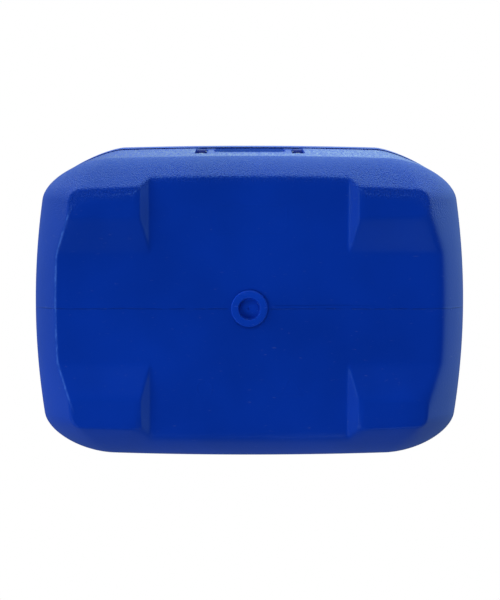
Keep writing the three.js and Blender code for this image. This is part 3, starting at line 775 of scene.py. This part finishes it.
bent = put(tree, "TexNoise", (0, place), Scale=120.0, Detail=2.0)
bend = put(tree, "VectorMath", (0, bent.outputs["Color"]), operation="SCALE", Scale=0.006)
swirl = put(tree, "VectorMath", (0, place), (1, bend.outputs[0]), operation="ADD").outputs[0]
fibre = noise(tree, drawn_out(tree, swirl, 900, 2600, 900), 1.0, 4.0)
cross = noise(tree, drawn_out(tree, swirl, 2600, 900, 900), 1.0, 4.0)
fuzz = maths(tree, "MAXIMUM", fibre, cross)
felt_tone = plus(tree, ranged(tree, fuzz, 0.42, 0.72), times(tree, noise(tree, place, 30.0, 3.0), 0.5))
felt_tone = times(tree, felt_tone, 0.66, clamp=True)
felt_tone = blended(tree, felt_tone, (0.012, 0.013, 0.015, 1), (0.062, 0.065, 0.070, 1))
tree.links.new(felt_tone, shader.inputs["Base Color"])
needle = put(tree, "TexVoronoi", (0, place), Scale=420.0)
needle_holes = times(tree, ranged(tree, needle.outputs["Distance"], 0.0, 0.25), 0.3)
felt_lift = put(tree, "Bump", ("Height", plus(tree, fuzz, needle_holes)), Strength=0.8, Distance=0.0008)
tree.links.new(felt_lift.outputs[0], shader.inputs["Normal"])
mat = finished("felt_mat", [around(mat_rows)], felt, "play_mat")
mat_area = 0.5 * abs((mat_x * np.roll(mat_y, -1) - np.roll(mat_x, -1) * mat_y).sum())
mat_area = mat_area - math.pi * MAT_HOLE**2

# ---------------------------------------------------------------- target cup
# An injection-moulded white cup that stands in the mat's hole. A blind boss under the middle of
# its floor holds the threaded insert.
CUP_Z = 32.3
cup_profile = filleted([
    (0, 43.5, 0), (4.3, 43.5, 0.3), (4.3, CUP_Z, 0.3), (47, CUP_Z, 0.8), (50, 33.8, 1.2), (51, 37, 1.5),
    (52.7, 82, 0), (54.2, 126, 1.0), (51.6, 126, 1.0), (50.1, 82, 0), (48.4, 39, 2.2), (46.5, 36.3, 2),
    (44, 35.3, 2), (9.4, 35.3, 1.2), (8, 36.5, 1), (7.6, 46.3, 1), (0, 46.3, 0)])
cup_skin = moulded("cup_polypropylene", (0.80, 0.80, 0.77, 1), 0.30, grain=0.15, size=900.0, ripple=0.6,
                   rub=0.9, bump=0.25, Subsurface_Weight=0.12, Subsurface_Scale=0.004)
finished("cup_moulding", [revolved(cup_profile, 144)], cup_skin, "target_cup")

# ---------------------------------------------------------------- cup ring
# A soft yellow collar that is pressed over the cup's mouth. It marks the scoring edge from a
# distance and takes the knocks.
ring_profile = filleted([
    (54.6, 115, 0.3), (57, 115, 0.9), (57.3, 121, 0), (57.6, 127, 1.2), (56.4, 128.7, 1.2), (51, 128.7, 1.2),
    (49.6, 127.3, 0.8), (49.7, 121, 0.4), (51.1, 121, 0.3), (51.25, 126.3, 0.2), (54.6, 126.3, 0.2)],
    closed=True)
ring_skin = moulded("ring_elastomer", (0.80, 0.40, 0.012, 1), 0.42, grain=0.4, size=900.0, ripple=0.6,
                    rub=0.5, bump=0.3)
finished("ring_moulding", [revolved(ring_profile, 160, closed=True)], ring_skin, "cup_ring")

# ---------------------------------------------------------------- cup fixings
# A turned brass insert in the cup's boss, and a zinc-plated washer and screw that pull the cup
# down through the tray's floor from below. They are out of sight once the plug is in.
metal_group, g_in, g_out = group_of(
    "worked_metal",
    [("Colour", "Color", (0.6, 0.6, 0.6, 1)), ("Rough", "Float", 0.3), ("Size", "Float", 900.0)],
    [("Colour", "Color"), ("Roughness", "Float"), ("Height", "Float")])
t = metal_group
place = put(t, "TexCoord").outputs["Object"]
fine = put(t, "TexNoise", (0, place), ("Scale", g_in.outputs["Size"]), Detail=4.0).outputs["Fac"]
stain = ranged(t, noise(t, place, 160.0, 2.0), 0.3, 0.7, 0.82, 1.08)
tint = put(t, "HueSaturation", ("Color", g_in.outputs["Colour"]), ("Value", stain)).outputs[0]
rough = plus(t, g_in.outputs["Rough"], times(t, minus(t, fine, 0.5), 0.3), clamp=True)
for socket, source in (("Colour", tint), ("Roughness", rough), ("Height", fine)):
    t.links.new(source, g_out.inputs[socket])


def metal(name, colour, rough):
    """A metal whose colour, roughness and bump come from the worked metal group."""
    material = material_of(name, Metallic=1.0)[0]
    return dressed(material, metal_group, 0.25, 0.0001, Colour=colour, Rough=rough, Size=900.0)


zinc = metal("zinc_plate", (0.60, 0.61, 0.62, 1), 0.32)
brass = metal("turned_brass", (0.62, 0.40, 0.14, 1), 0.28)
for node, coat in (("cup_insert", brass), ("cup_washer", zinc), ("cup_screw", zinc)):
    cad_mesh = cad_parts[node].data
    cad_mesh.materials.clear()
    cad_mesh.materials.append(coat)

# ---------------------------------------------------------------- carry handle
# A flat bail, moulded in one piece with its two barrels. It lies in its pocket flush with the
# wall, and both edges of the grip are waved for the fingers.
ARM_OUT, ARM_IN, GRIP_LOW, GRIP_TOP, OUT_R, IN_R = 40.0, 32.0, -48.0, -25.0, 6.0, 4.0
WAVES, WAVE_DEEP, BARREL_R, BARREL_HALF, BARREL_AT, BAIL_HALF = 4, 1.3, 3.6, 4.45, 35.95, 2.8


def wall_frame(angle, lean, pivot):
    """The directions out of a wall, along it and up it as columns, and the pivot's place."""
    c, s, cl, sl = math.cos(angle), math.sin(angle), math.cos(lean), math.sin(lean)
    axes = np.array([[c * cl, -s, c * sl], [s * cl, c, s * sl], [-sl, 0, cl]])
    return axes, np.array([pivot[0] * c, pivot[0] * s, pivot[1]])


def slab(outline, half, edge, axes, origin, order=(0, 1, 2)):
    """A plate of an outline (p, q) that runs from -half to half across it, with quarter-round
    edges: at the angle t round an edge the outline is moved in by edge (1 - sin t) along its
    normals while the plate has edge (1 - cos t) still to go. order says which local axis is the
    thickness, then p, then q."""
    ahead = np.roll(outline, -1, 0) - np.roll(outline, 1, 0)
    normal = np.stack([ahead[:, 1], -ahead[:, 0]], 1) / np.maximum(np.hypot(*ahead.T), 1e-9)[:, None]
    area = (outline[:, 0] * np.roll(outline[:, 1], -1) - np.roll(outline[:, 0], -1) * outline[:, 1]).sum()
    normal *= np.sign(area)
    t = np.radians([0, 0, 22.5, 45, 67.5, 90])
    into = edge * (1 - np.sin(t))
    into[0] += 0.35
    level = half - edge * (1 - np.cos(t))
    into, level = np.concatenate([into, into[::-1]]), np.concatenate([level, -level[::-1]])
    rings = outline[None] - normal[None] * into[:, None, None]
    local = np.empty((len(into), len(outline), 3))
    local[..., order[0]] = level[:, None]
    local[..., order[1]], local[..., order[2]] = rings[..., 0], rings[..., 1]
    n = len(outline)
    pts = local.reshape(-1, 3) @ axes.T + origin
    caps = [np.arange(n)[None], (np.arange(n) + (len(into) - 1) * n)[None, ::-1]]
    return pts, facing_out(pts, [grid_faces(len(into), n, wrap=True)[:, ::-1], *caps])


def arc(cx, cy, r, start, stop, steps=8):
    """Points round a circle from one angle to another, in degrees."""
    t = np.radians(np.linspace(start, stop, steps + 1))
    return np.stack([cx + r * np.cos(t), cy + r * np.sin(t)], 1)


def finger_waves(level, start, stop, way):
    """A row of finger hollows: level + way depth (1 - cos(2 pi waves s)) / 2."""
    s = np.linspace(0, 1, WAVES * 24 + 1)[1:-1]
    hollow = WAVE_DEEP * (1 - np.cos(2 * math.pi * WAVES * s)) / 2
    return np.stack([start + (stop - start) * s, level + way * hollow], 1)


def along_barrel(profile, shift, axes, origin, segments=40):
    """A turned shape whose own axis runs along the wall, moved along it by shift."""
    turned_axes = np.stack([axes[:, 0], -axes[:, 2], axes[:, 1]], 1)
    return revolved(profile, segments, turned_axes, origin + axes[:, 1] * shift)


out_x, out_q = ARM_OUT - OUT_R, GRIP_LOW + OUT_R
in_x, in_q = ARM_IN - IN_R, GRIP_TOP + IN_R
bail = np.concatenate([
    [[-ARM_OUT, 0]], arc(-out_x, out_q, OUT_R, 180, 270), finger_waves(GRIP_LOW, -out_x, out_x, 1),
    arc(out_x, out_q, OUT_R, 270, 360), [[ARM_OUT, 0], [ARM_IN, 0]], arc(in_x, in_q, IN_R, 0, -90),
    finger_waves(GRIP_TOP, in_x, -in_x, -1), arc(-in_x, in_q, IN_R, -90, -180), [[-ARM_IN, 0]]])
front_axes, front_pivot = wall_frame(-math.pi / 2, math.atan(FLARE), FRONT_PIVOT)
barrel = filleted([(0, -BARREL_HALF, 0), (BARREL_R, -BARREL_HALF, 0.7), (BARREL_R, BARREL_HALF, 0.7),
                   (0, BARREL_HALF, 0)])
handle_shapes = [slab(bail, BAIL_HALF, 2.5, front_axes, front_pivot)]
handle_shapes += [along_barrel(barrel, side * BARREL_AT, front_axes, front_pivot) for side in (-1, 1)]
handle_skin = moulded("handle_polypropylene", BLUE, 0.36, grain=0.25, ripple=0.3, streak=0.5, rub=0.4,
                      bump=0.4, Specular_Tint=BLUE_SHEEN)
finished("handle_moulding", handle_shapes, handle_skin, "carry_handle", "handle")

# ---------------------------------------------------------------- brackets, pins and screws
# Dark blue glass-filled nylon ears, two for the handle and two for the clip. Each has a foot with one
# pan-head screw into the wall, and a plain steel pin runs through it.
FOOT_DROP, FOOT_T, HANDLE_EAR, LATCH_EAR, EAR_HALF = 15.0, 2.2, 45.0, 14.8, 4.0
PIN_R, HANDLE_PIN_HALF, HANDLE_PIN_AT, LATCH_PIN_HALF, RECESS = 1.5, 7.0, 41.5, 18.0, 0.95


def ear_outline(reach, depth):
    """A bracket's side, out from the wall and up from the pivot."""
    b, d = -reach, depth - reach
    return filleted([(b, -23, 0.2), (b + 1.6, -23, 0.3), (b + FOOT_T, -22.4, 0.3), (b + FOOT_T, -8.5, 1.6),
                     (b + FOOT_T + 1.5, -6.5, 0.8), (d - 1.5, -6, 1.0), (d, -4.5, 1.0), (d, 2.6, 1.6),
                     (d - 2, 4.6, 1.6), (b, 4.6, 0.3)], closed=True)


def pan_screw(axes, origin, segments=72):
    """A pan-head screw out along the wall's normal, with its seat at origin. A cross recess is
    pressed into the dome: its arms are 0.29 head radii wide and 1.12 long, with drafted sides."""
    r, head_r, head_h, length = 1.5, 2.7, 1.7, 9.0
    top = np.linspace(0, 0.9, 22)[:, None] * head_r
    dome = np.hstack([top, head_h * (1 - 0.32 * (top / head_r) ** 3)])
    rest = np.array([
        [head_r * 0.97, head_h * 0.52], [head_r, head_h * 0.38], [head_r, 0.15], [head_r * 0.97, 0],
        [r, 0], [r, 0.3 - length + r], [r * 0.5, -length], [0, -length]])
    out_axes = np.stack([axes[:, 1], axes[:, 2], axes[:, 0]], 1)
    pts, faces = revolved(np.vstack([dome, rest]), segments)
    p, q = np.abs(pts[:, 0]) / head_r, np.abs(pts[:, 1]) / head_r
    arm = np.maximum(np.clip((0.17 - p) / 0.05, 0, 1) * np.clip((0.60 - q) / 0.08, 0, 1),
                     np.clip((0.17 - q) / 0.05, 0, 1) * np.clip((0.60 - p) / 0.08, 0, 1))
    pts[:, 2] -= RECESS * arm * (pts[:, 2] > head_h * 0.5)
    return pts @ out_axes.T + origin, faces


def pin_profile(half):
    """A plain pin with small chamfers."""
    return filleted([(0, -half, 0), (PIN_R, -half, 0.4), (PIN_R, half, 0.4), (0, half, 0)])


ear_skin = moulded("bracket_nylon", (0.0012, 0.022, 0.26, 1), 0.42, grain=0.8, size=1400.0, ripple=0.2,
                   rub=0.25, bump=0.3)
latch_axes, latch_pivot = wall_frame(0.0, 0.0, END_PIVOT)
FRONT_REACH, END_REACH = 3.5, 4.7
for word, side, along, depth, reach, axes, pivot, kind in (
        ("left", -1, HANDLE_EAR, 6.6, FRONT_REACH, front_axes, front_pivot, "handle"),
        ("right", 1, HANDLE_EAR, 6.6, FRONT_REACH, front_axes, front_pivot, "handle"),
        ("front", -1, LATCH_EAR, 9.0, END_REACH, latch_axes, latch_pivot, "latch"),
        ("rear", 1, LATCH_EAR, 9.0, END_REACH, latch_axes, latch_pivot, "latch")):
    shift = pivot + axes[:, 1] * side * along
    finished(f"{kind}_ear_{word}", [slab(ear_outline(reach, depth), EAR_HALF, 0.5, axes, shift, (1, 0, 2))],
             ear_skin, f"{kind}_bracket_{word}")
    seat = shift + axes[:, 0] * (FOOT_T + 0.3 - reach) - axes[:, 2] * FOOT_DROP
    finished(f"{kind}_foot_screw_{word}", [pan_screw(axes, seat)], zinc, f"{kind}_screw_{word}")
    if kind == "handle":
        handle_pin = along_barrel(pin_profile(HANDLE_PIN_HALF), side * HANDLE_PIN_AT, axes, pivot)
        finished(f"handle_steel_pin_{word}", [handle_pin], zinc, f"handle_pin_{word}")
latch_pin = along_barrel(pin_profile(LATCH_PIN_HALF), 0.0, latch_axes, latch_pivot)
finished("latch_steel_pin", [latch_pin], zinc, "latch_pin")

# ---------------------------------------------------------------- end clip
# A springy blue strap on its own pin. It hangs in the end channel with its hook facing out, and
# swings up over the rim to catch the keeper of a second box.
CLIP_HALF, RIB_HALF = 10.0, 7.0
strap = filleted([(-1.5, -3.7, 0), (-1.5, -45, 0.7), (4.2, -45, 0.8), (4.2, -42.6, 0.8), (1.5, -41.4, 1.4),
                  (1.5, -4.2, 0)])
clip_outline = np.concatenate([strap, arc(0, 0, 4.0, -68, 248, 36)])
grip_rib = filleted([(1, -26, 0.2), (2.8, -24.5, 0.8), (2.8, -20.5, 0.8), (1, -19, 0.2)], closed=True)
clip_skin = moulded("clip_polypropylene", BLUE, 0.34, grain=0.2, ripple=0.3, rub=0.7, bump=0.35,
                    Specular_Tint=BLUE_SHEEN)
finished("clip_moulding", [slab(clip_outline, CLIP_HALF, 0.6, latch_axes, latch_pivot, (1, 0, 2)),
                           slab(grip_rib, RIB_HALF, 0.5, latch_axes, latch_pivot, (1, 0, 2))],
         clip_skin, "latch_clip", "clip")

# ---------------------------------------------------------------- keeper
# A dark blue plate with a catch along its top, held by two screws in the channel at the other end.
KEEPER_UP, KEEPER_HALF, SCREW_OUT, SCREW_ALONG, SCREW_DOWN = 108.0, 15.0, 2.3, 9.0, 7.0
keeper_axes, keeper_pivot = wall_frame(math.pi, 0.0, (END_BACK + 0.3, KEEPER_UP))
catch = filleted([(0, -14, 0.2), (2, -14, 0.6), (2, 1, 0.8), (3, 1.4, 0.6), (3, 5.2, 0.7), (0, 5.2, 0.3)],
                 closed=True)
plate = slab(catch, KEEPER_HALF, 0.6, keeper_axes, keeper_pivot, (1, 0, 2))
finished("keeper_plate", [plate], ear_skin, "keeper")
for word, side in (("rear", -1), ("front", 1)):
    seat = keeper_pivot + keeper_axes @ np.array([SCREW_OUT, side * SCREW_ALONG, -SCREW_DOWN])
    finished(f"keeper_plate_screw_{word}", [pan_screw(keeper_axes, seat)], zinc,
             f"keeper_screw_{word}")
